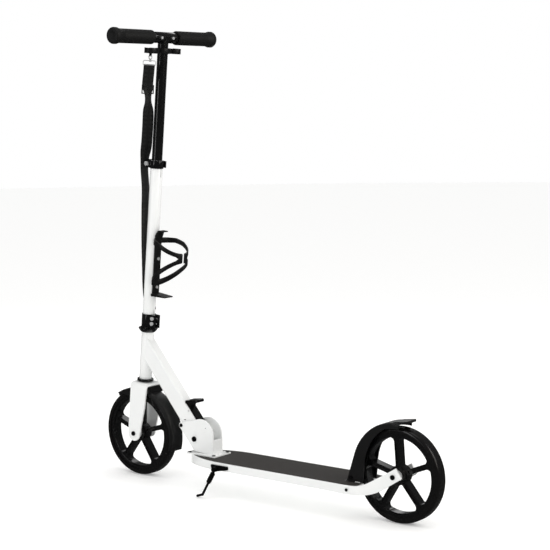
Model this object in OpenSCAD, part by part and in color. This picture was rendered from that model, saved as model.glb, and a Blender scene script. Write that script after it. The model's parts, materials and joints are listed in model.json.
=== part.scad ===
// Folding kick scooter with two large wheels, a telescopic steering column, a quick-release
// height clamp, removable handles, a bottle cage, a kickstand and a carry strap.
// +X is forward, +Y the rider's left, +Z up; the origin is on the ground, midway between the axles.

/* [Wheels] */
// Outer diameter of both wheels
wheel_d = 200; // [180:1:205]
// Width of the tyres
tyre_w = 30; // [26:1:30]
// Distance between the axles
wheelbase = 724.8; // [720:0.2:730]
// Angle of the first spoke of the rear wheel
rear_spoke_angle = 14; // [0:1:71]
// Angle of the first spoke of the front wheel
front_spoke_angle = 20; // [0:1:71]

/* [Deck] */
// Height of the standing surface
deck_top = 75; // [75:0.5:76]
// Half of the deck's width
deck_half_w = 60; // [58:0.5:60]
// Front end of the deck
deck_front = 181; // [176:1:182]
// Thickness of the side rails
rail_t = 3.5; // [3:0.1:3.5]

/* [Steering] */
// Rearward lean of the steering axis
lean = 5.7; // [5:0.1:6]
// Distance of the front axle ahead of the steering axis
fork_offset = 1.6; // [0:0.1:3]
// Outer diameter of the steering column
column_d = 28.2; // [28:0.1:28.4]
// Diameter of the telescopic stem
stem_d = 24; // [23.9:0.01:24]
// Height of the handlebar above the front axle, along the steering axis
bar_up = 914; // [900:1:925]

/* [Handlebar] */
// Half of the length of the grips' span
bar_half_w = 165; // [160:1:175]
// Diameter of the grips
grip_d = 30; // [28:0.5:32]

/* [Down tube] */
// Angle of the down tube to the ground
tube_angle = 50.2; // [50:0.1:50.4]
// Width of the down tube
tube_w = 25.6; // [25:0.1:25.6]

/* [Hidden] */
$fn = 96;
eps = 0.01;

wheel_r = wheel_d / 2;
axle_x = wheelbase / 2;
rim_r = wheel_r - 12;
window_r = rim_r - 8.5;
hub_r = 19;
window_corner = 9;
window_half = 24;
axle_d = 8;
bearing_d = 22;
bearing_w = 7;
hub_half_w = 13;
spoke_half_d = 10;

plate_t = 3;
tape_t = 1;
plate_top = deck_top - tape_t;
rail_low = 58;
arm_y = 31;
arm_curve_r = 83.4;
arm_curve_x0 = -256;
arm_curve_x1 = -350;
arm_curve_mid = (arm_curve_x0 + arm_curve_x1) / 2;
front_curve_x = 80;
front_curve_r = 193;
notch_half_w = 21;
notch_x = -254;
deck_rear = -284;

pivot = [185, 107];
tube_top = 28.3;
tube_low = -12.6;
tube_wall = 2.5;
cheek_gap = 26.2;
cheek_t = 3.5;
stop_at = [45.9, -12.9];
stop_world = [pivot[0] + stop_at[0]*cos(tube_angle) - stop_at[1]*sin(tube_angle),
              pivot[1] + stop_at[0]*sin(tube_angle) + stop_at[1]*cos(tube_angle)];
lever_pin_at = [60, 24];

fork_half_w = 29;
fork_t = 4;
crown_top = 122;
steerer_d = 24.1;
column_bore = 24.15;
head_tube_d = 28.6;
head_low = 129;
head_high = 240;
column_low = 253;
column_high = 638;
skewer_at = [22, 629];
lever_at = [22, -13.5];

fender_at = [-364, 104];
fender_r = 107;
fender_lean = 18;
fender_half_w = 26;
fender_t = 2.5;
fender_pin_at = [-255, 84];
guard_at = [fork_offset - 3, -2];
guard_r = 109;
guard_half_w = 20.5;
bottle_axis = -57;
cage_low = 321;
cage_high = 468;
cage_bolt_w = [348, 414];
clip_w = 878.5;
clip_h = 12;
clip_y = 39;
sleeve_d = 25;
handle_d = 22;
sleeve_half = 40;
button_y = 18.5;

// Routes of the carry strap's two lengths in the steering frame: forward, left and up
strap_upper = [[2, 39.5, 853], [9, 31.5, 800], [16, 23.5, 752], [23, 16, 705]];
strap_lower = [[22, 16, 735], [26, 12, 690], [31, 7, 650], [31, 6, 615], [23, 9, 565], [17.5, 9, 520],
    [16.5, 4, 450], [16.5, -3, 380], [16.5, -9, 300]];
strap_turn = -52;
strap_w = 25;
kick_at = [84, 61];
kick_top = [85, 67, 57];
kick_elbow = [95, 95, 9];
kick_foot = [112, 92, 3.1];
strap_t = 1.6;

// Points where the outer tangent of two circles [x, y, r] touches them
function tangent(a, b) =
    let (dx = b[0] - a[0], dy = b[1] - a[1],
         normal = atan2(dy, dx) - acos((a[2] - b[2]) / norm([dx, dy])))
    [[a[0] + a[2]*cos(normal), a[1] + a[2]*sin(normal)],
     [b[0] + b[2]*cos(normal), b[1] + b[2]*sin(normal)]];

// Points of an arc
function arc(cx, cy, r, a0, a1, n = 12) =
    [for (i = [0:n]) [cx + r*cos(a0 + (a1 - a0)*i/n), cy + r*sin(a0 + (a1 - a0)*i/n)]];

// Outline around circles [x, y, r] given anticlockwise. Its straight edges lie eps inside the
// tangents, so that each one crosses its arcs cleanly.
module rounded(circles) {
    n = len(circles);
    inner = [for (c = circles) [c[0], c[1], c[2] - eps]];
    polygon([for (i = [0:n - 1]) each tangent(inner[i], inner[(i + 1) % n])]);
    for (c = circles) translate([c[0], c[1]]) circle(r = c[2], $fn = 64);
}

module rounded_rect(w, h, r)
    rounded([[r - w/2, r - h/2, r], [w/2 - r, r - h/2, r], [w/2 - r, h/2 - r, r], [r - w/2, h/2 - r, r]]);

// Extrudes an outline drawn in the side plane (x, z) from y0 to y1
module slab(y0, y1) translate([0, y1, 0]) rotate([90, 0, 0]) linear_extrude(y1 - y0) children();

// Cylinder along Y
module rod_y(r, y0, y1) slab(y0, y1) circle(r = r);

// Cylinder between two points
module rod(p, q, r) {
    d = q - p;
    translate(p) rotate([0, acos(d[2] / norm(d)), atan2(d[1], d[0])]) cylinder(r = r, h = norm(d), $fn = 48);
}

module both_sides() {
    children();
    mirror([0, 1, 0]) children();
}

// Steering frame: x forward of the steering axis, z along it from the front axle's height
module steered() translate([axle_x, 0, wheel_r]) rotate([0, -lean, 0])
    translate([-fork_offset, 0, 0]) children();

// Down tube frame: x along the tube from the fold pivot, z square to its rear face
module on_tube() translate([pivot[0], 0, pivot[1]]) rotate([0, -tube_angle, 0]) children();

module at_axle(x) translate([x, 0, wheel_r]) children();

// ---- wheels ----

// Opening between two spokes: narrow at the hub and wide at the rim, with round corners
module wheel_window() {
    corner = [(window_r - window_corner)*cos(window_half), (window_r - window_corner)*sin(window_half)];
    edge = tangent([hub_r - 1, 0, 5], [corner[0], -corner[1], window_corner]);
    turn = atan2(edge[1][1] + corner[1], edge[1][0] - corner[0]);
    difference() {
        polygon(concat([edge[0]],
            arc(corner[0], -corner[1], window_corner, turn, -window_half, 8),
            arc(0, 0, window_r - 0.7, 3 - window_half, window_half - 3, 12),
            arc(corner[0], corner[1], window_corner, window_half, -turn, 8),
            [[edge[0][0], -edge[0][1]]]));
        circle(r = hub_r + 1.5);
    }
}

module rim(spoke_angle) color("#1d1d1f") rotate([90, 0, 0]) rotate(spoke_angle) difference() {
    rotate_extrude() polygon([
        [bearing_d/2, -hub_half_w], [hub_r, -hub_half_w], [hub_r + 1, -spoke_half_d],
        [window_r, -spoke_half_d],
        [window_r + 1, -hub_half_w], [rim_r - 0.05, -hub_half_w], [rim_r - 0.05, hub_half_w],
        [window_r + 1, hub_half_w], [window_r, spoke_half_d], [hub_r + 1, spoke_half_d],
        [hub_r, hub_half_w], [bearing_d/2, hub_half_w], [bearing_d/2, hub_half_w - bearing_w],
        [bearing_d/2 - 1.5, hub_half_w - bearing_w], [bearing_d/2 - 1.5, bearing_w - hub_half_w],
        [bearing_d/2, bearing_w - hub_half_w]]);
    for (k = [0:4]) rotate(36 + 72*k) translate([0, 0, -tyre_w]) linear_extrude(2*tyre_w) wheel_window();
    for (k = [0:4], side = [-1, 1]) rotate(72*k) translate([0, 0, side*spoke_half_d])
        linear_extrude(4, center = true) rounded([[28, 0, 3], [70, 0, 3.5]]);
}

module tyre() color("#141414") rotate([90, 0, 0]) rotate_extrude() difference() {
    rounded([[rim_r + 1, 4.5 - tyre_w/2, 4.5], [rim_r + 5, 7 - tyre_w/2, 7],
             [rim_r + 5, tyre_w/2 - 7, 7], [rim_r + 1, tyre_w/2 - 4.5, 4.5]]);
    translate([rim_r - 10, -tyre_w]) square([10, 2*tyre_w]);
}

module bearings() color("silver") both_sides() slab(hub_half_w - bearing_w, hub_half_w) difference() {
    circle(d = bearing_d - 0.1);
    circle(d = axle_d + 0.1);
}

// Axle with a button head outside each end plate
module axle(half_w) color("#202020") difference() {
    union() {
        rod_y(axle_d/2, -half_w, half_w);
        both_sides() slab(half_w, half_w + 3) circle(r = 5.2);
    }
    both_sides() slab(half_w + 1, half_w + 4) circle(r = 2.6, $fn = 6);
}

module spacers(y1) color("silver") both_sides() slab(hub_half_w, y1) difference() {
    circle(r = 6.5);
    circle(r = axle_d/2 + 0.05);
}

module rear_tyre() at_axle(-axle_x) tyre();
module front_tyre() at_axle(axle_x) tyre();
module rear_rim() at_axle(-axle_x) rim(rear_spoke_angle);
module front_rim() at_axle(axle_x) rim(front_spoke_angle);
module rear_bearings() at_axle(-axle_x) bearings();
module front_bearings() at_axle(axle_x) bearings();
module rear_axle() at_axle(-axle_x) axle(arm_y);
module front_axle() at_axle(axle_x) axle(fork_half_w);
module rear_spacers() at_axle(-axle_x) spacers(arm_y - rail_t);
module front_spacers() at_axle(axle_x) spacers(fork_half_w - fork_t);

// ---- deck ----

// Half of the area inside the rails' outer faces, moved in by inset
function deck_side(inset) = concat(
    arc(arm_curve_x0, deck_half_w - arm_curve_r, arm_curve_r - inset,
        90 + asin((arm_curve_x0 - deck_rear)/(arm_curve_r - inset)), 90, 8),
    arc(front_curve_x, deck_half_w - front_curve_r, front_curve_r - inset, 90,
        90 - asin((deck_front - rail_t - front_curve_x)/(front_curve_r - inset)), 12));

module deck_area(inset) {
    side = deck_side(inset);
    polygon(concat(side, [for (i = [len(side) - 1:-1:0]) [side[i][0], -side[i][1]]]));
}

// Plan of the left rail: straight side, front curve and the double bend of the rear arm
module rail_plan() {
    translate([arm_curve_x0, deck_half_w - rail_t]) square([front_curve_x - arm_curve_x0, rail_t]);
    intersection() {
        translate([front_curve_x, deck_half_w - front_curve_r]) difference() {
            circle(r = front_curve_r, $fn = 360);
            circle(r = front_curve_r - rail_t, $fn = 360);
        }
        translate([front_curve_x, 0]) square([deck_front - rail_t - front_curve_x, deck_half_w + 1]);
    }
    intersection() {
        translate([arm_curve_x0, deck_half_w - arm_curve_r]) difference() {
            circle(r = arm_curve_r, $fn = 360);
            circle(r = arm_curve_r - rail_t, $fn = 360);
        }
        translate([arm_curve_mid, 0]) square([arm_curve_x0 - arm_curve_mid, deck_half_w + 1]);
    }
    intersection() {
        translate([arm_curve_x1, arm_y + arm_curve_r]) difference() {
            circle(r = arm_curve_r + rail_t, $fn = 360);
            circle(r = arm_curve_r, $fn = 360);
        }
        translate([arm_curve_x1, 0]) square([arm_curve_mid - arm_curve_x1, deck_half_w + 1]);
    }
    translate([-axle_x - 30, arm_y - rail_t]) square([arm_curve_x1 + axle_x + 30, rail_t]);
}

// Side view of a rail: a level skirt that rises to the rear dropout
module rail_side() polygon(concat(
    [[deck_front, rail_low - 2], [deck_front, deck_top]],
    arc(-279.2, deck_top + 60, 60, -90, -121, 8),
    [[-axle_x - 6.6, 119], [-axle_x - 20.6, 99]],
    arc(-292, rail_low + 78, 80, -123, -90, 8),
    [[-200, rail_low], [front_curve_x, rail_low]]));

module side_rail() color("white") difference() {
    intersection() {
        translate([0, 0, 40]) linear_extrude(90) rail_plan();
        slab(arm_y - rail_t - 1, deck_half_w + 1) rail_side();
    }
    at_axle(-axle_x) rod_y(axle_d/2, 20, 40);
    translate([-267, 0, 66]) rod_y(2, 40, 70);
}

module side_rail_left() side_rail();
module side_rail_right() mirror([0, 1, 0]) side_rail();

module wheel_notch() translate([-330, -notch_half_w]) square([330 + notch_x, 2*notch_half_w]);

module deck_plate() color("white") translate([0, 0, plate_top - plate_t])
linear_extrude(plate_t) difference() {
    deck_area(rail_t);
    wheel_notch();
}

module grip_tape() color("#3b3a38") translate([0, 0, plate_top]) linear_extrude(tape_t) difference() {
    deck_area(rail_t + 0.4);
    translate([-330, -28]) square([330 - 238, 56]);
    translate([114.5, -30]) square([80, 60]);
}

// Inner half width between the rails at x
function inner_half_w(x) = deck_half_w - rail_t - (x < front_curve_x ? 0 :
    front_curve_r - sqrt(front_curve_r*front_curve_r - pow(x - front_curve_x, 2)) + 0.6);

module cross_members() color("white") for (x = [150, 40, -70, -180, -244])
    translate([x - 4, -inner_half_w(x), rail_low + 3])
        cube([4, 2*inner_half_w(x), plate_top - plate_t - rail_low - 3]);

module front_plate() color("white") {
    half = deck_half_w - front_curve_r
        + sqrt(front_curve_r*front_curve_r - pow(deck_front - rail_t - front_curve_x, 2));
    translate([deck_front - rail_t, -half, rail_low - 2]) cube([rail_t, 2*half, plate_top - rail_low + 2]);
}

module rail_screws() color("#202020") both_sides() translate([-267, 0, 66]) {
    rod_y(1.9, 50, 59.8);
    slab(59.7, 61.2) circle(r = 3.2);
}

// ---- folding joint ----

module cheek_outline() intersection() {
    rounded([[132, plate_top + 4, 2], [185.5, plate_top + 8, 2], [stop_world[0], stop_world[1], 6.5],
        [166, 118.5, 36]]);
    translate([100, plate_top + 1]) square([200, 120]);
}

module fold_bracket() color("white") difference() {
    union() {
        translate([157.5, 0, plate_top]) linear_extrude(3.5) rounded_rect(85, 59, 4);
        both_sides() slab(cheek_gap/2, cheek_gap/2 + cheek_t) cheek_outline();
        translate([130, -cheek_gap/2 - 1, plate_top + 1]) cube([3.5, cheek_gap + 2, 35]);
    }
    translate([pivot[0], 0, pivot[1]]) rod_y(5, -20, 20);
    translate([stop_world[0], 0, stop_world[1]]) rod_y(3, -20, 20);
    both_sides() for (x = [122, 193]) translate([x, 24, 60]) cylinder(r = 2.5, h = 30);
    translate([151.8, 0, 135.4]) rod_y(1.6, 10, 20);
}

// Cross bolt with a socket head on the left and a nut on the right
module cross_bolt(r, head_r, head_h) color("#202020") difference() {
    y = cheek_gap/2 + cheek_t;
    union() {
        rod_y(r - eps, -y, y);
        slab(y, y + head_h) circle(r = head_r);
        slab(-y - head_h, -y) circle(r = head_r, $fn = 6);
    }
    slab(y + head_h - 2, y + head_h + 1) circle(r = head_r/2, $fn = 6);
}

module fold_pivot_bolt() translate([pivot[0], 0, pivot[1]]) cross_bolt(5, 6, 3);
module stop_bolt() translate([stop_world[0], 0, stop_world[1]]) cross_bolt(3, 4.2, 2);

module bracket_screws() color("#202020") both_sides() for (x = [122, 193]) translate([x, 24, 0]) {
    translate([0, 0, plate_top]) cylinder(r = 2.5 - eps, h = 3.5);
    translate([0, 0, plate_top + 3.5]) cylinder(r = 4, h = 1.6);
}

module down_tube() color("white") on_tube() difference() {
    intersection() {
        rotate([0, 90, 0]) translate([0, 0, -30]) linear_extrude(330) translate([-(tube_top + tube_low)/2, 0])
            rounded_rect(tube_top - tube_low, tube_w, 4.5);
        slab(-20, 20) union() {
            circle(r = tube_top);
            translate([0, -40]) square([300, 80]);
        }
    }
    // hollow above a solid boss around the pivot
    difference() {
        translate([14, 0, 0]) rotate([0, 90, 0]) linear_extrude(320) translate([-(tube_top + tube_low)/2, 0])
            rounded_rect(tube_top - tube_low - 2*tube_wall, tube_w - 2*tube_wall, 2);
        rod_y(16, -20, 20);
    }
    translate([16.5, -tube_w/2 + tube_wall, 14]) cube([66, tube_w - 2*tube_wall, 20]);
    rod_y(5.05, -20, 20);
    translate([stop_at[0], 0, stop_at[1]]) rod_y(3.3, -20, 20);
    translate([lever_pin_at[0], 0, lever_pin_at[1]]) rod_y(2, -20, 20);
    translate([50.4, 0, 2]) slab(10, 20) rounded([[-1.5, 2, 1], [1.5, -2, 1]]);
    off_tube() steered() {
        translate([0, 0, head_low - 60]) cylinder(d = head_tube_d, h = 250);
        translate([0, -30, head_low - 60]) cube([200, 60, 250]);
    }
}

// Undoes on_tube(), so that a shape in the row's frame can be cut from the tube
module off_tube() rotate([0, tube_angle, 0]) translate([-pivot[0], 0, -pivot[1]]) children();

module lever_pin() color("silver") on_tube() translate([lever_pin_at[0], 0, lever_pin_at[1]])
    rod_y(2 - eps, -tube_w/2, tube_w/2);

module fold_lever() color("#1b1b1c") on_tube() difference() {
    union() {
        slab(-9.7, 9.7) rounded([[25, 25, 6], [75, 22.5, 4], [76, 29.5, 3], [25, 29, 4]]);
        slab(-14, 14) rounded([[78.5, 33.5, 4.2], [65.2, 55, 3.8]]);
        slab(-9.7, 9.7) rounded([[68, 28, 3], [76, 31, 2.5], [72, 40, 2]]);
    }
    translate([lever_pin_at[0], 0, lever_pin_at[1]]) rod_y(2.05, -20, 20);
    // channel between the lever's two flanges
    translate([14, -6.5, 10]) cube([64, 13, 19]);
}

// ---- head and fork ----

module head_tube() color("white") steered() translate([0, 0, head_low]) difference() {
    cylinder(d = head_tube_d, h = head_high - head_low);
    translate([0, 0, -1]) cylinder(d = steerer_d + 1, h = 200);
}

module lower_cup() color("#1b1b1c") steered() rotate_extrude() polygon([
    [steerer_d/2 + 0.05, crown_top + 0.3], [18, crown_top + 0.3], [19, crown_top + 1.3], [19, head_low - 1],
    [18, head_low], [steerer_d/2 + 0.05, head_low]]);

module upper_cup() color("#1b1b1c") steered() rotate_extrude() polygon([
    [steerer_d/2 + 0.05, head_high], [15.5, head_high], [17, head_high + 1], [21, head_high + 6],
    [22, head_high + 7.5], [22, head_high + 9], [21.5, head_high + 9.6],
    [steerer_d/2 + 0.05, head_high + 9.6]]);

module headset_nut() color("#1b1b1c") steered() translate([0, 0, head_high + 9.9]) difference() {
    cylinder(r = 17, h = 2.4);
    translate([0, 0, -1]) cylinder(d = steerer_d + 0.02, h = 5);
}

module steerer() color("silver") steered() translate([0, 0, crown_top - 5]) difference() {
    cylinder(d = steerer_d, h = cage_low - crown_top + 5);
    translate([0, 0, -1]) cylinder(d = steerer_d - 5, h = 300);
}

// Side view of the fork leg in the steering frame
module leg_outline() rounded([
    [fork_offset, 0, 17.3], [15.7, crown_top - 3, 3], [-27.2, crown_top - 3, 3], [-23.4, 66, 3]]);

module fork() color("white") steered() difference() {
    intersection() {
        slab(-fork_half_w - 5, fork_half_w + 5) leg_outline();
        rotate([90, 0, 90]) translate([0, 0, -60]) linear_extrude(120) difference() {
            rounded([[10 - fork_half_w, -20, 10], [fork_half_w - 10, -20, 10],
                     [fork_half_w - 10, crown_top - 10, 10], [10 - fork_half_w, crown_top - 10, 10]]);
            translate([0, -60]) rounded([[5 - 25, -20, 5], [25 - 5, -20, 5],
                [25 - 5, crown_top + 50, 5], [5 - 25, crown_top + 50, 5]]);
        }
    }
    translate([fork_offset, 0, 0]) rod_y(axle_d/2, -40, 40);
    translate([0, 0, crown_top - 10]) cylinder(d = steerer_d, h = 20);
}

// Radial section of a mudguard: an arched sheet with skirts of the given depth
module guard_section(r, half_w, depth, t) {
    corner = 6;
    polygon(concat(
        [[r - depth, -half_w]],
        arc(r - corner, corner - half_w, corner, -90, 0, 5),
        arc(r - corner, half_w - corner, corner, 0, 90, 5),
        [[r - depth, half_w], [r - depth, half_w - t]],
        arc(r - corner, half_w - corner, corner - t, 90, 0, 5),
        arc(r - corner, corner - half_w, corner - t, 0, -90, 5),
        [[r - depth, t - half_w]]));
}

// Mudguard arc from angle a0 to a1, with a straight sheet of the given length below a0
module mudguard(r, half_w, depth, t, a0, a1, head) rotate([90, 0, 0]) {
    rotate([0, 0, a0]) rotate_extrude(angle = a1 - a0) guard_section(r, half_w, depth, t);
    if (head > 0) rotate([0, 0, a0]) rotate([90, 0, 0])
        linear_extrude(head) guard_section(r, half_w, depth, t);
}

module front_fender() color("#1b1b1c") steered() {
    translate([guard_at[0], 0, guard_at[1]]) mudguard(guard_r, guard_half_w, 9, 2.5, 52, 190, 0);
    // deeper walls towards the front lip
    both_sides() slab(guard_half_w - 2.7, guard_half_w + 0.2) intersection() {
        translate(guard_at) circle(r = guard_r - 0.4);
        polygon([[24, 83.5], [67, 82.5], [70, 88], [70, 110], [24, 110]]);
    }
    // saddle that fills the space under the crown
    difference() {
        union() {
            translate([-33, -24.8, 98]) cube([48, 49.6, crown_top - 11 - 98]);
            translate([-33, -19.4, 98]) cube([48, 38.8, crown_top - 5.2 - 98]);
        }
        translate([guard_at[0], 0, guard_at[1]]) rod_y(guard_r - 1.5, -30, 30);
    }
}

// ---- column ----

// Slit with a round end, open at the other end
module slit(w0, w1) translate([-30, 0, 0]) rotate([90, 0, 90]) linear_extrude(30)
    rounded([[0, w0 + 1, 1], [0, w1 - 1, 1]]);

module column_tube() color("white") steered() difference() {
    translate([0, 0, column_low]) cylinder(d = column_d, h = column_high - column_low);
    translate([0, 0, column_low - 1]) cylinder(d = column_bore, h = 400);
    slit(column_low - 5, column_low + 40);
    slit(column_high - 38, column_high + 5);
    for (w = cage_bolt_w) translate([0, 0, w]) rotate([0, -90, 0]) cylinder(r = 2.5, h = 20);
}

module steering_clamp() color("#1b1b1c") steered() difference() {
    translate([0, 0, column_low - 0.4]) linear_extrude(30) {
        circle(d = 31.7);
        translate([-24, 1.2]) square([20, 6.8]);
        rounded([[-27, -6, 2], [-10, -6, 2], [-10, -3.2, 2], [-27, -3.2, 2]]);
    }
    translate([0, 0, column_low - 1]) cylinder(d = column_d, h = 40);
    translate([-40, -1.2, column_low - 1]) cube([40, 2.4, 40]);
    for (w = [262.3, 274.3]) translate([-19, 0, w]) rod_y(2.5, -10, 10);
}

module clamp_bolts() color("silver") steered() for (w = [262.3, 274.3]) translate([-19, 0, w]) {
    rod_y(2.5 - eps, -8, 8);
    slab(8, 11.5) circle(r = 4.2);
    slab(-11.5, -8) circle(r = 4, $fn = 6);
    translate([-5.5, 0, 0]) slab(-1.2, -0.4) circle(r = 1.3);
}

module height_clamp() color("#1b1b1c") steered() difference() {
    translate([0, 0, 620]) linear_extrude(18) {
        circle(d = 31);
        rounded([[10, -6, 2], [26, -6, 2], [26, 6, 2], [10, 6, 2]]);
    }
    translate([0, 0, 600]) cylinder(d = column_d, h = 60);
    translate([0, -1.2, 600]) cube([40, 2.4, 60]);
    translate([skewer_at[0], 0, skewer_at[1]]) rod_y(2.5, -10, 10);
}

module skewer() color("silver") steered() translate([skewer_at[0], 0, skewer_at[1]]) {
    rod_y(2.5 - eps, -10, 8);
    slab(8, 13) circle(r = 5);
    // eye and pin that the quick-release lever turns on
    translate([0, lever_at[1], -2.5]) cylinder(r = 4.5, h = 5);
    translate([0, lever_at[1], -7.5]) cylinder(r = 2, h = 15);
}

module qr_lever() color("#1b1b1c") steered() difference() {
    translate([0, 0, skewer_at[1] - 7.5]) linear_extrude(15) {
        rounded([[lever_at[0], lever_at[1], 5], [13, -15.3, 2.2]]);
        intersection() {
            difference() {
                circle(r = 21.6);
                circle(r = 18.2);
            }
            polygon([[0, 0], [60*cos(48), -60*sin(48)], [0, -80], [-60*cos(55), -60*sin(55)]]);
        }
        translate([19.9*cos(125), -19.9*sin(125)]) circle(r = 2.2);
    }
    translate([lever_at[0], lever_at[1], 0]) cylinder(r = 2.05, h = 800);
    translate([lever_at[0], lever_at[1], skewer_at[1] - 2.7]) cylinder(r = 5.3, h = 5.4);
}

// Cage: a spine on the column and two arms that wrap a bottle and almost meet behind it
module bottle_cage() color("#161616") steered() difference() {
    union() {
        translate([-19.5, -9, cage_low + 6]) cube([5.2, 18, cage_high - cage_low - 6]);
        intersection() {
            translate([bottle_axis, 0, cage_low]) difference() {
                cylinder(r = 40, h = 160);
                translate([0, 0, -1]) cylinder(r = 37, h = 170);
            }
            slab(-60, 60) polygon([[-14, 463], [-40, 462], [-60, 456], [-97.5, 435], [-97.5, 417], [-57, 384],
                [-14, 348], [-14, 361], [-57, 396], [-91, 421], [-94, 425.5], [-91, 430], [-58, 446],
                [-40, 451], [-14, 450]]);
        }
        // claw that grips the bottle's neck groove
        slab(-9, 9) rounded([[-17, 455, 2], [-16.8, 468, 2], [-24, 478, 2.2]]);
        slab(-9, 9) rounded([[-24, 478, 2.2], [-36, 479, 1.3]]);
        // foot that the bottle stands on
        intersection() {
            slab(-14, 14) rounded([[-17, cage_low + 8, 1.8], [-17, cage_low + 11, 1.8],
                [-58, cage_low + 9.4, 1.2]]);
            translate([-36, 0, cage_low - 10]) cylinder(r = 26, h = 60);
        }
    }
    translate([bottle_axis - 45, -3.5, cage_low]) cube([40, 7, 150]);
    for (w = cage_bolt_w) translate([0, 0, w]) rotate([0, -90, 0]) {
        cylinder(r = 2.5, h = 40);
        translate([0, 0, 19.5]) cylinder(r = 4, h = 20);
    }
}

module cage_bolts() color("silver") steered() for (w = cage_bolt_w) translate([0, 0, w]) rotate([0, -90, 0]) {
    translate([0, 0, 12.3]) cylinder(r = 2.5 - eps, h = 7.2);
    translate([0, 0, 19.5]) cylinder(r = 3.4, h = 2.2);
}

// Flat band swept along a route without twisting: its flat side faces the given angle
module band(route, facing) {
    n = len(route);
    points = [for (p = route, c = [[-1, -1], [1, -1], [1, 1], [-1, 1]])
        let (across = c[0]*strap_w/2, out = c[1]*strap_t/2)
        [p[0] + out*cos(facing) - across*sin(facing), p[1] + out*sin(facing) + across*cos(facing), p[2]]];
    sides = [for (i = [0:n - 2], k = [0:3]) let (a = 4*i + k, b = 4*i + (k + 1) % 4) [a, b, b + 4, a + 4]];
    polyhedron(points, concat([[3, 2, 1, 0]], sides, [[4*n - 4, 4*n - 3, 4*n - 2, 4*n - 1]]));
}

module strap() color("#151515") steered() {
    band(strap_upper, strap_turn);
    band(strap_lower, 0);
}

// ---- stem and handlebar ----

module stem_tube() color("#1b1b1c") steered() difference() {
    translate([0, 0, column_low + 295]) cylinder(d = stem_d, h = bar_up - column_low - 295);
    translate([0, 0, column_low + 290]) cylinder(d = stem_d - 4, h = bar_up - column_low - 310);
    translate([0, 0, bar_up]) rod_y(sleeve_d/2, -30, 30);
}

module bar_sleeve() color("#1b1b1c") steered() translate([0, 0, bar_up]) difference() {
    rod_y(sleeve_d/2, -sleeve_half, sleeve_half);
    rod_y(handle_d/2 + 0.05, -sleeve_half - 1, sleeve_half + 1);
    both_sides() translate([0, button_y, 0]) rotate([0, -90, 0]) cylinder(r = 3.05, h = 20);
}

module clip_holder() color("#1b1b1c") steered() difference() {
    union() {
        translate([0, 0, clip_w]) linear_extrude(clip_h) {
            circle(d = 31);
            translate([-4, -30]) square([8, 60]);
            both_sides() translate([0, clip_y]) circle(r = 14.5);
        }
        translate([-1.5, 36.5, clip_w - 7]) cube([3, 6, 8]);
    }
    translate([0, 0, clip_w - 1]) cylinder(d = stem_d + 0.02, h = clip_h + 2);
    both_sides() translate([0, clip_y, 0]) difference() {
        translate([0, 0, clip_w - 1]) linear_extrude(clip_h + 2) {
            circle(d = handle_d + 0.4);
            translate([0, -8]) square([20, 16]);
        }
        // rib that a stowed handle rests on
        translate([-2.5, -13, clip_w - 2]) cube([5, 26, 5]);
    }
    translate([0, 39.5, clip_w - 4.3]) rotate([0, 90, 0]) cylinder(r = 2, h = 20, center = true);
}

module snap_hook() color("silver") steered() translate([0, 39.5, 0]) {
    translate([0, 0, clip_w - 8.8]) rotate([90, 0, 0]) rotate_extrude()
        translate([4.5, 0]) circle(r = 1.1, $fn = 32);
    translate([0, 0, clip_w - 19]) cylinder(r = 2.4, h = 5.2);
}

module button(side) color("silver") steered() translate([0, side*button_y, bar_up]) rotate([0, -90, 0])
    translate([0, 0, handle_d/2 + 0.15]) cylinder(r = 3, h = 3.5);

module handle_tube() color("silver") steered() translate([0, 0, bar_up]) difference() {
    slab(4, bar_half_w - 4) circle(d = handle_d);
    slab(3, bar_half_w) circle(d = handle_d - 4);
    translate([0, button_y, 0]) rotate([0, -90, 0]) cylinder(r = 3.4, h = 20);
}

module grip() color("#1a1a1a") steered() translate([0, 0, bar_up]) rotate([-90, 0, 0]) difference() {
    rotate_extrude() polygon([
        [handle_d/2 - 2, sleeve_half + 0.3], [grip_d/2 - 2, sleeve_half + 0.3], [grip_d/2, sleeve_half + 7],
        [grip_d/2, bar_half_w - 9], [grip_d/2 + 3.2, bar_half_w - 7.5], [grip_d/2 + 3.2, bar_half_w - 2.5],
        [grip_d/2 + 1, bar_half_w], [0, bar_half_w], [0, bar_half_w - 4], [handle_d/2 - 2, bar_half_w - 4]]);
    translate([0, 0, sleeve_half]) cylinder(d = handle_d + 0.02, h = bar_half_w - sleeve_half - 4);
}

module handle_tube_left() handle_tube();
module handle_tube_right() mirror([0, 1, 0]) handle_tube();
module grip_left() grip();
module grip_right() mirror([0, 1, 0]) grip();
module button_left() button(1);
module button_right() button(-1);

// ---- kickstand ----

module kickstand_bracket() color("#1b1b1c") difference() {
    slab(deck_half_w + 0.01, deck_half_w + 2.5) {
        rounded([[52, 64, 2], [kick_at[0], 57.5, 2], [96, 64, 2], [96, 68, 2], [52, 68, 2]]);
        translate(kick_at) circle(r = 6);
    }
    translate([kick_at[0], 0, kick_at[1]]) rod_y(2.5, 50, 80);
}

module kickstand_bolt() color("#202020") translate([kick_at[0], 0, kick_at[1]]) {
    rod_y(2.5 - eps, deck_half_w + 0.02, 71);
    slab(71, 73) circle(r = 4.5);
}

module kickstand_leg() color("#1b1b1c") difference() {
    union() {
        translate([kick_at[0], 0, kick_at[1]]) slab(deck_half_w + 2.8, 70.8) circle(r = 6);
        rod(kick_top, kick_elbow, 2.8);
        translate(kick_elbow) sphere(r = 3.1, $fn = 48);
        rod(kick_elbow, kick_foot, 2.8);
        translate(kick_foot) sphere(r = 3.1, $fn = 48);
    }
    translate([kick_at[0], 0, kick_at[1]]) rod_y(2.55, 50, 80);
}

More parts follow.
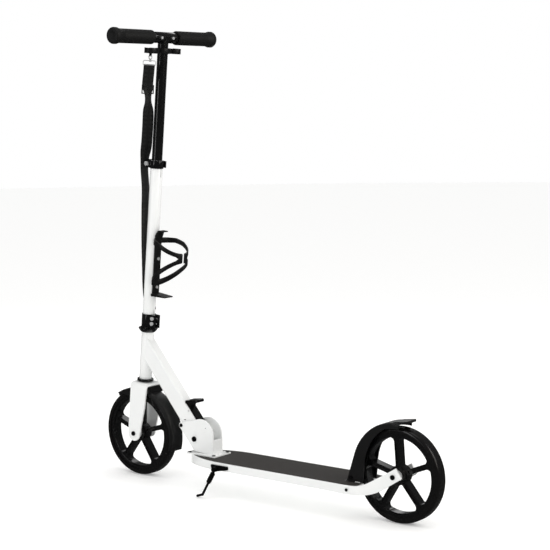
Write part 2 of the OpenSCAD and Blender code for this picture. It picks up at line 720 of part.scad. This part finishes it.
module kickstand_collar() color("#1b1b1c") {
    along = (kick_elbow - kick_top) / norm(kick_elbow - kick_top);
    difference() {
        rod(kick_top + 18*along, kick_top + 29*along, 4.8);
        rod(kick_top, kick_elbow, 2.81);
    }
}

// ---- rear brake ----

module fender_mount() color("#1b1b1c") difference() {
    union() {
        translate([0, 0, plate_top]) linear_extrude(2.5) difference() {
            translate([-262, -27]) square([20.5, 54]);
            wheel_notch();
        }
        both_sides() slab(19.8, 23.2)
            rounded([[-260, deck_top + 1, 1], [-251, deck_top + 1, 1],
                [fender_pin_at[0], fender_pin_at[1], 4.5]]);
    }
    translate([fender_pin_at[0], 0, fender_pin_at[1]]) rod_y(3, -30, 30);
}

module fender_pin() color("#202020") translate([fender_pin_at[0], 0, fender_pin_at[1]]) {
    rod_y(3 - eps, -fender_half_w - 0.5, fender_half_w + 0.5);
    both_sides() slab(fender_half_w + 0.5, fender_half_w + 1.5) circle(r = 4.5);
}

// Side wall of the rear fender: deep over the deck and narrowing to the top
module fender_wall() {
    r = fender_r - 2;
    foot_z = deck_top - 3;
    foot_x = fender_at[0] + r*cos(fender_lean)
        + (fender_at[1] + r*sin(fender_lean) - foot_z)*tan(fender_lean);
    polygon(concat(
        arc(-axle_x - 26.8, wheel_r + 8, 101.6, 0, 72, 12),
        arc(fender_at[0], fender_at[1], r, 90, fender_lean, 14),
        [[foot_x, foot_z], [-284, foot_z]]));
}

module rear_fender() color("#1b1b1c") difference() {
    union() {
        translate([fender_at[0], 0, fender_at[1]])
            mudguard(fender_r, fender_half_w, 12, fender_t, fender_lean, 95, 68);
        both_sides() slab(fender_half_w - fender_t - 0.2, fender_half_w + 0.2) fender_wall();
        // lifted tail
        intersection() {
            slab(-19.4, 19.4) polygon([[-352, 209.3], [-373, 209.3], [-388, 210.5], [-393, 213.5],
                [-388, 215.8], [-358, 212]]);
            translate([-366, 0, 0]) cylinder(r = 28, h = 300);
        }
    }
    translate([-300, -40, 50]) cube([80, 80, deck_top + 2 - 50]);
    translate([fender_pin_at[0], 0, fender_pin_at[1]]) rod_y(3.06, -30, 30);
}

// Steel shoe that fills the space between the fender and a line 5 mm off the tyre
module brake_shoe() color("silver") slab(-11, 11) difference() {
    intersection() {
        translate(fender_at) circle(r = fender_r - fender_t - 0.02);
        translate([-axle_x, wheel_r]) polygon(concat([[0, 0]], arc(0, 0, 200, 70, 92, 2)));
    }
    translate([-axle_x, wheel_r]) circle(r = wheel_r + 5);
}

side_rail_left();
side_rail_right();
deck_plate();
grip_tape();
cross_members();
front_plate();
fold_bracket();
fold_pivot_bolt();
stop_bolt();
bracket_screws();
kickstand_bracket();
kickstand_bolt();
rail_screws();
rear_axle();
rear_spacers();
fender_mount();
fender_pin();
rear_tyre();
rear_rim();
rear_bearings();
rear_fender();
brake_shoe();
kickstand_leg();
kickstand_collar();
down_tube();
head_tube();
lower_cup();
upper_cup();
lever_pin();
fold_lever();
fork();
steerer();
front_axle();
front_spacers();
front_fender();
headset_nut();
column_tube();
steering_clamp();
clamp_bolts();
height_clamp();
skewer();
bottle_cage();
cage_bolts();
strap();
front_tyre();
front_rim();
front_bearings();
qr_lever();
stem_tube();
bar_sleeve();
clip_holder();
snap_hook();
handle_tube_left();
grip_left();
handle_tube_right();
grip_right();
button_left();
button_right();
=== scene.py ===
import json
import math
import bpy
import bmesh
from mathutils import Matrix, Vector


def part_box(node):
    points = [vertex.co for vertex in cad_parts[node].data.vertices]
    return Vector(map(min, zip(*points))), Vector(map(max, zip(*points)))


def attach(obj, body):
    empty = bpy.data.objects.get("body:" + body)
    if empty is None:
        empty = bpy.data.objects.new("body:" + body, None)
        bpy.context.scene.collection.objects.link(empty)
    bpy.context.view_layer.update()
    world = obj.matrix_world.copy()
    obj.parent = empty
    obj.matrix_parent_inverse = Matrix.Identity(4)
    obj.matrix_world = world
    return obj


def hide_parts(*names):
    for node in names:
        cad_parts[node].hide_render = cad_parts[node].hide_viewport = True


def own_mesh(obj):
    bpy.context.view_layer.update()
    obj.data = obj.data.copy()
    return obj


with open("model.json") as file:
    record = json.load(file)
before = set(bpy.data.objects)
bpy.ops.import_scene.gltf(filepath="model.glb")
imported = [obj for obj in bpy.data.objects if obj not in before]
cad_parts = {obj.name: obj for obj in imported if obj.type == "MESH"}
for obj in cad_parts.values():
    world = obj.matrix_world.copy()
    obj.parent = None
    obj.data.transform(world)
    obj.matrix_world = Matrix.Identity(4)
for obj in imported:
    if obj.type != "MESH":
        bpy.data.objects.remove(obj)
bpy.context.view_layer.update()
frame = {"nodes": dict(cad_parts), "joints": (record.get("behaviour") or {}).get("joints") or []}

# ---- camera ----
# A long lens 0.84 m above the floor, behind the scooter's left rear corner, looking slightly down.
EYE = Vector((-2.0210, 2.5126, 0.8448))
YAW, PITCH, ROLL = (math.radians(a) for a in (-51.746, -6.289, -0.71))
ahead = Vector((math.cos(PITCH)*math.cos(YAW), math.cos(PITCH)*math.sin(YAW), math.sin(PITCH)))
level = ahead.cross(Vector((0, 0, 1))).normalized()
over = level.cross(ahead)
right = math.cos(ROLL)*level + math.sin(ROLL)*over
up = math.cos(ROLL)*over - math.sin(ROLL)*level
camera = bpy.data.objects.new("camera", bpy.data.cameras.new("camera"))
camera.data.lens = 97.93
camera.data.sensor_width = 36
camera.data.clip_end = 60
camera.matrix_world = Matrix.LocRotScale(EYE, Matrix((right, up, -ahead)).transposed(), None)
bpy.context.scene.collection.objects.link(camera)
bpy.context.scene.camera = camera

# ---- studio ----
# A pale floor that meets a pale surround, and soft boxes above and around, as for a product picture.
# Not a physical set: the camera sees a white surround, but reflections meet a dark grey one and no
# floor, and the floor glows a little. In a plain white set the blacks look paler than here.


def from_hex(code):
    """Linear colour from an sRGB hex string."""
    parts = [int(code[i:i + 2], 16) / 255 for i in (1, 3, 5)]
    return [c / 12.92 if c <= 0.04045 else ((c + 0.055) / 1.055)**2.4 for c in parts] + [1]


def add(tree, kind, links=None, **settings):
    """Adds a node: links sets inputs by name or number, to a value or from a socket."""
    node = tree.nodes.new(kind)
    for name, value in settings.items():
        setattr(node, name, value)
    for name, value in (links or {}).items():
        if isinstance(value, bpy.types.NodeSocket):
            tree.links.new(value, node.inputs[name])
        else:
            node.inputs[name].default_value = value
    return node


def soft_box(name, place, target, size, watts, colour="#ffffff"):
    """A rectangular light that faces a target."""
    light = bpy.data.lights.new(name, "AREA")
    light.shape = "RECTANGLE"
    light.size, light.size_y = size
    light.energy = watts
    light.color = from_hex(colour)[:3]
    obj = bpy.data.objects.new(name, light)
    obj.location = place
    obj.rotation_euler = (Vector(target) - Vector(place)).to_track_quat("-Z", "Y").to_euler()
    bpy.context.scene.collection.objects.link(obj)


world = bpy.data.worlds.new("studio")
world.use_nodes = True
tree = world.node_tree
tree.nodes.clear()
sight = add(tree, "ShaderNodeLightPath")
seen = add(tree, "ShaderNodeBackground", {"Color": from_hex("#ffffff"), "Strength": 0.84})
rays = add(tree, "ShaderNodeTexCoord")
height = add(tree, "ShaderNodeSeparateXYZ", {0: rays.outputs["Generated"]})
ramp = add(tree, "ShaderNodeValToRGB", {0: height.outputs["Z"]})
ramp.color_ramp.elements[0].position = 0.05
ramp.color_ramp.elements[0].color = from_hex("#747474")
ramp.color_ramp.elements[1].position = 0.8
ramp.color_ramp.elements[1].color = from_hex("#a0a0a0")
mirrored = add(tree, "ShaderNodeBackground", {"Color": ramp.outputs["Color"], "Strength": 0.4})
mix = add(tree, "ShaderNodeMixShader", {0: sight.outputs["Is Glossy Ray"], 1: seen.outputs[0],
                                        2: mirrored.outputs[0]})
backdrop = add(tree, "ShaderNodeBackground", {"Color": from_hex("#ffffff"), "Strength": 1.0})
both = add(tree, "ShaderNodeMixShader", {0: sight.outputs["Is Camera Ray"], 1: mix.outputs[0],
                                         2: backdrop.outputs[0]})
add(tree, "ShaderNodeOutputWorld", {0: both.outputs[0]})
bpy.context.scene.world = world
bpy.context.scene.view_settings.view_transform = "Standard"

MIDDLE = (0.0, 0.0, 0.45)
soft_box("overhead", (0.1, 0.3, 2.7), MIDDLE, (1.8, 1.8), 7.5)
soft_box("key", (-2.6, 0.1, 1.6), MIDDLE, (0.5, 1.8), 12, "#fff8ee")
soft_box("fill", (0.9, 2.9, 1.1), MIDDLE, (0.4, 1.8), 8)
soft_box("back", (1.3, -2.3, 1.5), MIDDLE, (1.0, 1.6), 7)
soft_box("rim strip", (-1.9, -0.9, 1.5), MIDDLE, (0.25, 1.4), 6)

bpy.ops.mesh.primitive_circle_add(vertices=96, radius=14, fill_type="NGON", location=(0, 0, -0.0006))
floor = bpy.context.object
floor.name = "floor"
floor.visible_glossy = False  # left out of reflections, so black gloss mirrors the grey surround
paper = bpy.data.materials.new("pale_paper")
paper.use_nodes = True
for socket, value in (("Base Color", from_hex("#fbfbfa")), ("Roughness", 0.85),
                      ("Emission Color", from_hex("#ffffff")), ("Emission Strength", 0.2)):
    paper.node_tree.nodes["Principled BSDF"].inputs[socket].default_value = value
floor.data.materials.append(paper)

# ---- deck frame, down tube, head tube, fork and column ----
# Bent and welded metal strip and tube, with a sheet top on the deck. All of it is sprayed with gloss
# white powder coat, which flows out smooth but for a faint orange peel.


def new_material(name):
    """An empty material: returns it and its node tree."""
    made = bpy.data.materials.new(name)
    made.use_nodes = True
    made.node_tree.nodes.clear()
    return made, made.node_tree


def surface(tree, colour, roughness, bump=None, **uniform):
    """The shader and output: colour and roughness are values or sockets, bump a height socket in metres."""
    links = {"Base Color": colour, "Roughness": roughness}
    if bump is not None:
        links["Normal"] = add(tree, "ShaderNodeBump", {"Height": bump, "Distance": 1.0}).outputs[0]
    for name, value in uniform.items():
        links[name.replace("_", " ")] = value
    shader = add(tree, "ShaderNodeBsdfPrincipled", links)
    add(tree, "ShaderNodeOutputMaterial", {0: shader.outputs[0]})


def grain(tree, mm, detail=2.0, stretch=(1, 1, 1)):
    """Noise whose features are mm millimetres across on the real piece, from 0 to 1."""
    place = add(tree, "ShaderNodeTexCoord").outputs["Object"]
    scaled = add(tree, "ShaderNodeMapping", {"Vector": place, "Scale": stretch})
    return add(tree, "ShaderNodeTexNoise", {"Vector": scaled.outputs[0], "Scale": 1000 / mm,
                                            "Detail": detail}).outputs[0]


def between(tree, factor, low, high):
    """A factor from 0 to 1 turned into a number from low to high."""
    return add(tree, "ShaderNodeMapRange", {"Value": factor, "To Min": low, "To Max": high}).outputs[0]


def tinted(tree, factor, dark, light):
    """A colour between two hex colours."""
    ramp = add(tree, "ShaderNodeValToRGB", {0: factor})
    ramp.color_ramp.elements[0].color = from_hex(dark)
    ramp.color_ramp.elements[1].color = from_hex(light)
    return ramp.outputs[0]


def finish_with(material, *nodes):
    """Gives CAD nodes a material."""
    for name in nodes:
        piece = frame["nodes"][name]
        if not piece.material_slots:
            piece.data.materials.append(material)
        for held in piece.material_slots:
            held.material = material


def ease_edges(width, *nodes):
    """Rounds the sharp edges of CAD nodes by a width in metres, as a rumbled or coated part has them."""
    for name in nodes:
        piece = frame["nodes"][name]
        weld = piece.modifiers.new("weld", "WELD")
        weld.merge_threshold = 1e-6
        bevel = piece.modifiers.new("edge", "BEVEL")
        bevel.width = width
        bevel.segments = 2
        bevel.limit_method = "ANGLE"
        bevel.angle_limit = math.radians(32)
        bevel.harden_normals = True


def make_powder_coat(name, tone, shade):
    """Powder coat: smooth, glossy, with waves of about 3 mm and hardly any change of tone."""
    made, tree = new_material(name)
    waves = grain(tree, 3.0)
    bump = between(tree, waves, 0, 0.00002)
    colour = tinted(tree, grain(tree, 60), shade, tone)
    surface(tree, colour, between(tree, waves, 0.2, 0.26), bump, IOR=1.5, Coat_Weight=0.35,
            Coat_Roughness=0.08)
    return made


white_coat = make_powder_coat("white_powder_coat", "#f3f4f3", "#edeeed")
finish_with(white_coat, "side_rail_left", "side_rail_right", "cross_members", "front_plate", "deck_plate",
            "fold_bracket", "down_tube", "head_tube", "fork", "column_tube")
ease_edges(0.0005, "side_rail_left", "side_rail_right", "cross_members", "front_plate", "fold_bracket",
           "down_tube", "head_tube", "fork", "column_tube")

# ---- grip sheet ----
# Abrasive sheet stuck to the deck: black mineral grit in resin on a cloth back, which gives a dull
# charcoal surface. Its bright specks are painted glints: the grit's raised grains are painted lighter.
GRIT_MM = 1.1  # real grit is finer; drawn coarser so that it shows
grit, tree = new_material("grip_sheet")
grit_and_glints = grain(tree, GRIT_MM, 3.0)
# the lighter colour on the raised grains is a painted glint, not the grit's own colour
colour = tinted(tree, grit_and_glints, "#1b1917", "#474340")
surface(tree, colour, between(tree, grit_and_glints, 0.75, 0.95), between(tree, grit_and_glints, 0, 0.0004))
finish_with(grit, "grip_tape")

# ---- screws, axles and bracket bolts ----
# Hardened steel, blackened in hot oxide and oiled: dark, with a soft metallic gleam. The screws and
# bolts are turned or forged; the kickstand is bent rod on a pressed bracket.
oxide, tree = new_material("black_oxide_steel")
surface(tree, tinted(tree, grain(tree, 4), "#0e0e0f", "#181819"), between(tree, grain(tree, 1.5), 0.3, 0.42),
        Metallic=0.75)
finish_with(oxide, "fold_pivot_bolt", "stop_bolt", "bracket_screws", "kickstand_bracket", "kickstand_bolt",
            "rail_screws", "rear_axle", "front_axle", "fender_pin", "kickstand_leg", "kickstand_collar")
ease_edges(0.0003, "fold_pivot_bolt", "stop_bolt", "rear_axle", "front_axle", "kickstand_bracket")

# ---- plated steel pieces ----
# Bright zinc over turned or drawn steel: pale grey, with fine turning marks that blur its
# reflections. Only half metallic, so that it stays pale against the dark surround it mirrors.
zinc, tree = new_material("zinc_plated_steel")
marks = grain(tree, 0.8, 2.0, (1, 6, 1))
surface(tree, tinted(tree, marks, "#c4c5c5", "#dcdddd"), between(tree, marks, 0.3, 0.45),
        between(tree, marks, 0, 0.00001), Metallic=0.5)
finish_with(zinc, "rear_spacers", "front_spacers", "rear_bearings", "front_bearings", "brake_shoe",
            "lever_pin", "steerer", "clamp_bolts", "skewer", "cage_bolts", "snap_hook",
            "button_left", "button_right")
ease_edges(0.0003, "clamp_bolts", "skewer", "cage_bolts")

# ---- wheels ----
# Rims moulded in glass-filled nylon, each with a polyurethane tyre cast round it. Both are black and
# fairly glossy, with a faint cloudiness in the gloss.
nylon, tree = new_material("moulded_nylon")
cloud = grain(tree, 12)
surface(tree, tinted(tree, cloud, "#060607", "#0b0b0b"), between(tree, cloud, 0.15, 0.25),
        between(tree, grain(tree, 0.9), 0, 0.00001), IOR=1.53)
finish_with(nylon, "rear_rim", "front_rim")
ease_edges(0.0008, "rear_rim", "front_rim")
urethane, tree = new_material("cast_polyurethane")
cloud = grain(tree, 8)
surface(tree, tinted(tree, cloud, "#080707", "#0f0e0e"), between(tree, cloud, 0.16, 0.26),
        between(tree, grain(tree, 1.2), 0, 0.00001), IOR=1.5)
finish_with(urethane, "rear_tyre", "front_tyre")

# ---- mudguards, cage and clip holder ----
# Injection-moulded polypropylene from a spark-eroded mould: black, with a fine even texture that
# softens its highlights. The rear guard swings on a pin, and bolts hold the cage.
moulded, tree = new_material("textured_polypropylene")
spark = grain(tree, 0.9, 3.0)
surface(tree, tinted(tree, grain(tree, 30), "#080808", "#0f0f10"), between(tree, spark, 0.34, 0.5),
        between(tree, spark, 0, 0.00003), IOR=1.49)
finish_with(moulded, "rear_fender", "front_fender", "fender_mount", "bottle_cage", "clip_holder")
ease_edges(0.0006, "rear_fender", "front_fender", "bottle_cage", "clip_holder", "fender_mount")

# ---- stem, cups and clamps ----
# Drawn aluminium and pressed steel in gloss black lacquer, which gives thin bright highlights on a
# near-black ground.
lacquer, tree = new_material("gloss_black_lacquer")
waves = grain(tree, 4)
surface(tree, tinted(tree, waves, "#050505", "#080809"), between(tree, waves, 0.16, 0.22),
        between(tree, waves, 0, 0.00001), IOR=1.5, Coat_Weight=0.3, Coat_Roughness=0.06)
finish_with(lacquer, "stem_tube", "bar_sleeve", "lower_cup", "upper_cup", "headset_nut", "steering_clamp",
            "height_clamp", "fold_lever", "qr_lever", "handle_tube_left", "handle_tube_right")
ease_edges(0.0005, "bar_sleeve", "lower_cup", "upper_cup", "headset_nut", "steering_clamp", "height_clamp",
           "fold_lever", "qr_lever")

# ---- grips ----
# Soft moulded rubber sleeves pushed over the handle tubes: a barrel with fine rings and a wide
# rounded flange round the dished outer end. Matt, with hardly any gleam. The inner end is left open.


def turned(name, outline, steps=96):
    """A surface of revolution about Y from (y, radius) points; an end off the axis stays open."""
    mesh = bpy.data.meshes.new(name)
    made = bmesh.new()
    rings = []
    for y, radius in outline:
        if radius < 1e-6:
            rings.append([made.verts.new((0, y, 0))])
        else:
            rings.append([made.verts.new((radius*math.cos(2*math.pi*k/steps), y,
                                          radius*math.sin(2*math.pi*k/steps))) for k in range(steps)])
    for low, high in zip(rings, rings[1:]):
        for k in range(steps):
            corners = [low[k % len(low)], low[(k + 1) % steps % len(low)],
                       high[(k + 1) % steps % len(high)], high[k % len(high)]]
            made.faces.new(list(dict.fromkeys(corners)))
    bmesh.ops.recalc_face_normals(made, faces=made.faces)
    made.to_mesh(mesh)
    made.free()
    for face in mesh.polygons:
        face.use_smooth = True
    obj = bpy.data.objects.new(name, mesh)
    bpy.context.scene.collection.objects.link(obj)
    return obj


rubber, tree = new_material("grip_rubber")
surface(tree, tinted(tree, grain(tree, 5), "#0b0b0b", "#121212"), between(tree, grain(tree, 1.5), 0.5, 0.68),
        between(tree, grain(tree, 0.9), 0, 0.00004))

BORE = 0.0111
BARREL_SHARE = 0.87  # the barrel's radius as a share of the flange's
RING_PITCH, RING_DEPTH = 0.0032, 0.00035  # fine rings along the barrel
FIRST_RING, PLAIN_ENDS = 0.004, 0.03  # where the rings begin, and the length that has none

for side, word in ((1, "left"), (-1, "right")):
    low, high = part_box("grip_" + word)
    inner, outer = (low.y, high.y) if side > 0 else (high.y, low.y)
    axis = Vector(((low.x + high.x)/2, 0, (low.z + high.z)/2))
    flange = (high.x - low.x)/2
    barrel = flange*BARREL_SHARE
    length = abs(outer - inner)
    outline = [(0.0, BORE), (0.0, barrel - 0.0012), (0.0006, barrel - 0.0003), (0.0016, barrel)]
    rings = int((length - PLAIN_ENDS)/RING_PITCH)
    for k in range(rings):
        start = FIRST_RING + k*RING_PITCH
        outline += [(start, barrel), (start + RING_PITCH*0.35, barrel),
                    (start + RING_PITCH*0.5, barrel - RING_DEPTH),
                    (start + RING_PITCH*0.85, barrel - RING_DEPTH)]
    edge = FIRST_RING + rings*RING_PITCH
    outline += [(edge, barrel), (length - 0.0165, barrel + 0.0002), (length - 0.0135, flange - 0.0006),
                (length - 0.0115, flange), (length - 0.004, flange), (length - 0.0016, flange - 0.0012),
                (length - 0.0004, flange - 0.0032), (length, flange - 0.0052), (length, flange*0.5),
                (length - 0.0008, flange*0.44), (length - 0.0012, flange*0.3), (length - 0.0012, 0)]
    grip = turned("grip_sleeve_" + word, outline)
    for v in grip.data.vertices:
        v.co = Vector((v.co.x, side*v.co.y + inner, v.co.z)) + axis
    if side < 0:
        grip.data.flip_normals()
    grip.data.materials.append(rubber)
    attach(grip, "handle_" + word)
    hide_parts("grip_" + word)

# ---- carry strap ----
# Polypropylene webbing, woven 25 mm wide with ribs: dull, with a slight sheen. It hangs from the
# snap hook, passes the height clamp and runs down the front of the column. Where its lower end is
# fixed is a guess.
steer = next(j for j in frame["joints"] if j["name"] == "steer")
COLUMN_FOOT = Vector(steer["pos_m"])
COLUMN_UP = Vector(steer["axis"]).normalized()
COLUMN_AHEAD = Vector((COLUMN_UP.z, 0, -COLUMN_UP.x))


def beside_column(ahead_mm, left_mm, up_mm):
    """A place given in millimetres along the column's own axes, from the front axle's height."""
    return COLUMN_FOOT + (COLUMN_AHEAD*ahead_mm + Vector((0, left_mm, 0)) + COLUMN_UP*up_mm)/1000


def smooth_path(points, steps):
    """A Catmull-Rom curve through points of any size."""
    path = []
    for k in range(len(points) - 1):
        a, b, c, d = (points[max(0, min(len(points) - 1, k + n))] for n in (-1, 0, 1, 2))
        for n in range(steps):
            t = n/steps
            path.append([((2*q) + (r - p)*t + (2*p - 5*q + 4*r - s)*t*t + (3*q - p - 3*r + s)*t**3)/2
                         for p, q, r, s in zip(a, b, c, d)])
    path.append(list(points[-1]))
    return path


STRAP_WIDTH, STRAP_THICK = 0.025, 0.0014
ROUTE = [(2, 39.5, 854, -52), (4, 38, 838, -52), (12, 31, 808, -44), (14, 26, 788, 2), (15, 23, 768, 6),
         (17, 19, 745, -34), (21, 14, 715, -52), (26, 9.5, 672, -46), (32, 6.5, 640, -8), (31.5, 6, 612, 0),
         (23.5, 8, 572, 0), (18, 11, 520, 0), (16.8, 7, 450, 0), (16.5, 0, 380, 0), (14, -8, 330, -25),
         (9, -15, 290, -55)]
path = smooth_path(ROUTE, 10)
mesh = bpy.data.meshes.new("carry_strap")
made = bmesh.new()
weave = made.loops.layers.uv.new("weave")
ACROSS = 8
rings, along = [], 0.0
lengths = []
before = None
for ahead_mm, left_mm, up_mm, facing in path:
    centre = beside_column(ahead_mm, left_mm, up_mm)
    turn = math.radians(facing)
    width = COLUMN_AHEAD*-math.sin(turn) + Vector((0, math.cos(turn), 0))
    out = COLUMN_AHEAD*math.cos(turn) + Vector((0, math.sin(turn), 0))
    if before is not None:
        along += (centre - before).length
    before = centre
    ring = []
    for side in (1, -1):
        for k in range(ACROSS + 1):
            share = side*(2*k/ACROSS - 1)
            thick = STRAP_THICK/2*(1 - 0.55*abs(share)**6)
            ring.append(made.verts.new(centre + width*(share*STRAP_WIDTH/2) + out*(side*thick)))
    rings.append(ring)
    lengths.append(along)
count = len(rings[0])
for n, (low, high) in enumerate(zip(rings, rings[1:])):
    for k in range(count):
        face = made.faces.new((low[k], low[(k + 1) % count], high[(k + 1) % count], high[k]))
        face.smooth = True
        shares = (k, k + 1, k + 1, k)
        reached = (lengths[n], lengths[n], lengths[n + 1], lengths[n + 1])
        for loop, share, length in zip(face.loops, shares, reached):
            loop[weave].uv = (share/ACROSS*STRAP_WIDTH, length)
made.faces.new(rings[0][::-1])
made.faces.new(rings[-1])
bmesh.ops.recalc_face_normals(made, faces=made.faces)
made.to_mesh(mesh)
made.free()
strap = bpy.data.objects.new("carry_strap", mesh)
bpy.context.scene.collection.objects.link(strap)

webbing, tree = new_material("polypropylene_webbing")
RIB_MM, PICK_MM = 2.2*2*math.pi, 1.6*2*math.pi  # 13.8 and 10.1 mm, about ten times too coarse
WAVE_UNIT = 2*math.pi/20*1000  # a wave node of scale 1 repeats every 2 pi / 20 m; here in millimetres
cloth = add(tree, "ShaderNodeUVMap", uv_map="weave").outputs[0]
ribs = add(tree, "ShaderNodeTexWave", {"Vector": cloth, "Scale": WAVE_UNIT/RIB_MM, "Distortion": 0.0},
           wave_type="BANDS", bands_direction="X")
picks = add(tree, "ShaderNodeTexWave", {"Vector": cloth, "Scale": WAVE_UNIT/PICK_MM, "Distortion": 1.5},
            wave_type="BANDS", bands_direction="Y")
threads = add(tree, "ShaderNodeMath", {0: ribs.outputs["Fac"], 1: picks.outputs["Fac"]}, operation="MULTIPLY")
surface(tree, tinted(tree, threads.outputs[0], "#060606", "#141414"), 0.72,
        between(tree, threads.outputs[0], 0, 0.0003), Sheen_Weight=0.15, Sheen_Roughness=0.5)
strap.data.materials.append(webbing)
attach(strap, "steering")
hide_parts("strap")
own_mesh(strap)

# ---- strap fittings ----
# A bent bar of zinc-plated wire at the snap hook, and a black nylon slider about 60 mm below it that
# sets the strap's length. Only drawn here: the CAD part has neither. The webbing ends at the bar,
# where a real one loops over it.


def wire(name, points, radius, closed=False):
    """A bent wire of the given radius along world points, as a mesh tube."""
    curve = bpy.data.curves.new(name, "CURVE")
    curve.dimensions = "3D"
    curve.bevel_depth = radius
    curve.bevel_resolution = 5
    curve.use_fill_caps = True
    spline = curve.splines.new("POLY")
    spline.points.add(len(points) - 1)
    for place, point in zip(spline.points, points):
        place.co = (*point, 1)
    spline.use_cyclic_u = closed
    bent = bpy.data.objects.new(name, curve)
    bpy.context.scene.collection.objects.link(bent)
    mesh = bpy.data.meshes.new_from_object(bent.evaluated_get(bpy.context.evaluated_depsgraph_get()))
    bpy.data.objects.remove(bent)
    solid = bpy.data.objects.new(name, mesh)
    bpy.context.scene.collection.objects.link(solid)
    for face in mesh.polygons:
        face.use_smooth = True
    return solid


def across_strap(up_mm, side_mm, out_mm, ahead=ROUTE[0][0], left=ROUTE[0][1], facing=ROUTE[0][3]):
    """A place beside the strap: side_mm along its width and out_mm off its face."""
    turn = math.radians(facing)
    return beside_column(ahead - side_mm*math.sin(turn) + out_mm*math.cos(turn),
                         left + side_mm*math.cos(turn) + out_mm*math.sin(turn), up_mm)


BAR_OUTLINE = ((852.5, -14), (852.5, 14), (860, 14), (862, 12), (862, -12), (860, -14))
bar = wire("strap_bar", [across_strap(up_mm, side_mm, 0) for up_mm, side_mm in BAR_OUTLINE], 0.0009,
           closed=True)
bar.data.materials.append(zinc)
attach(bar, "stem")

SLIDER_UP = 798
SLIDER_OUTLINE = ((-9, -14), (-9, 14), (9, 14), (9, -14))
slid = min(path, key=lambda point: abs(point[2] - SLIDER_UP))
slider = wire("strap_slider", [across_strap(slid[2] + up_mm, side_mm, 0, slid[0], slid[1], slid[3])
                               for up_mm, side_mm in SLIDER_OUTLINE], 0.0016, closed=True)
middle = wire("strap_slider_bar", [across_strap(slid[2], side_mm, 0.6, slid[0], slid[1], slid[3])
                                   for side_mm in (-13.5, 0, 13.5)], 0.0015)
for piece in (slider, middle):
    piece.data.materials.append(nylon)
    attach(piece, "steering")
    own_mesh(piece)

# ---- kickstand spring ----
# A coil of blackened spring steel wound round the upper leg. It is there for its looks: nothing in
# the model makes it hold the stand up or down.
LEG_TOP, LEG_ELBOW = Vector((0.085, 0.067, 0.057)), Vector((0.095, 0.095, 0.009))
TURNS, STEPS = 9, 16
COIL_PITCH, COIL_RADIUS, COIL_START = 0.0024, 0.0048, 0.004
down_leg = (LEG_ELBOW - LEG_TOP).normalized()
aside = down_leg.cross(Vector((0, 1, 0))).normalized()
third = down_leg.cross(aside)
coil = []
for step in range(TURNS*STEPS + 1):
    angle = 2*math.pi*step/STEPS
    coil.append(LEG_TOP + down_leg*(COIL_START + COIL_PITCH*step/STEPS)
                + (aside*math.cos(angle) + third*math.sin(angle))*COIL_RADIUS)
spring = wire("kickstand_spring", coil, 0.0011)
spring.data.materials.append(oxide)
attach(spring, "kickstand")
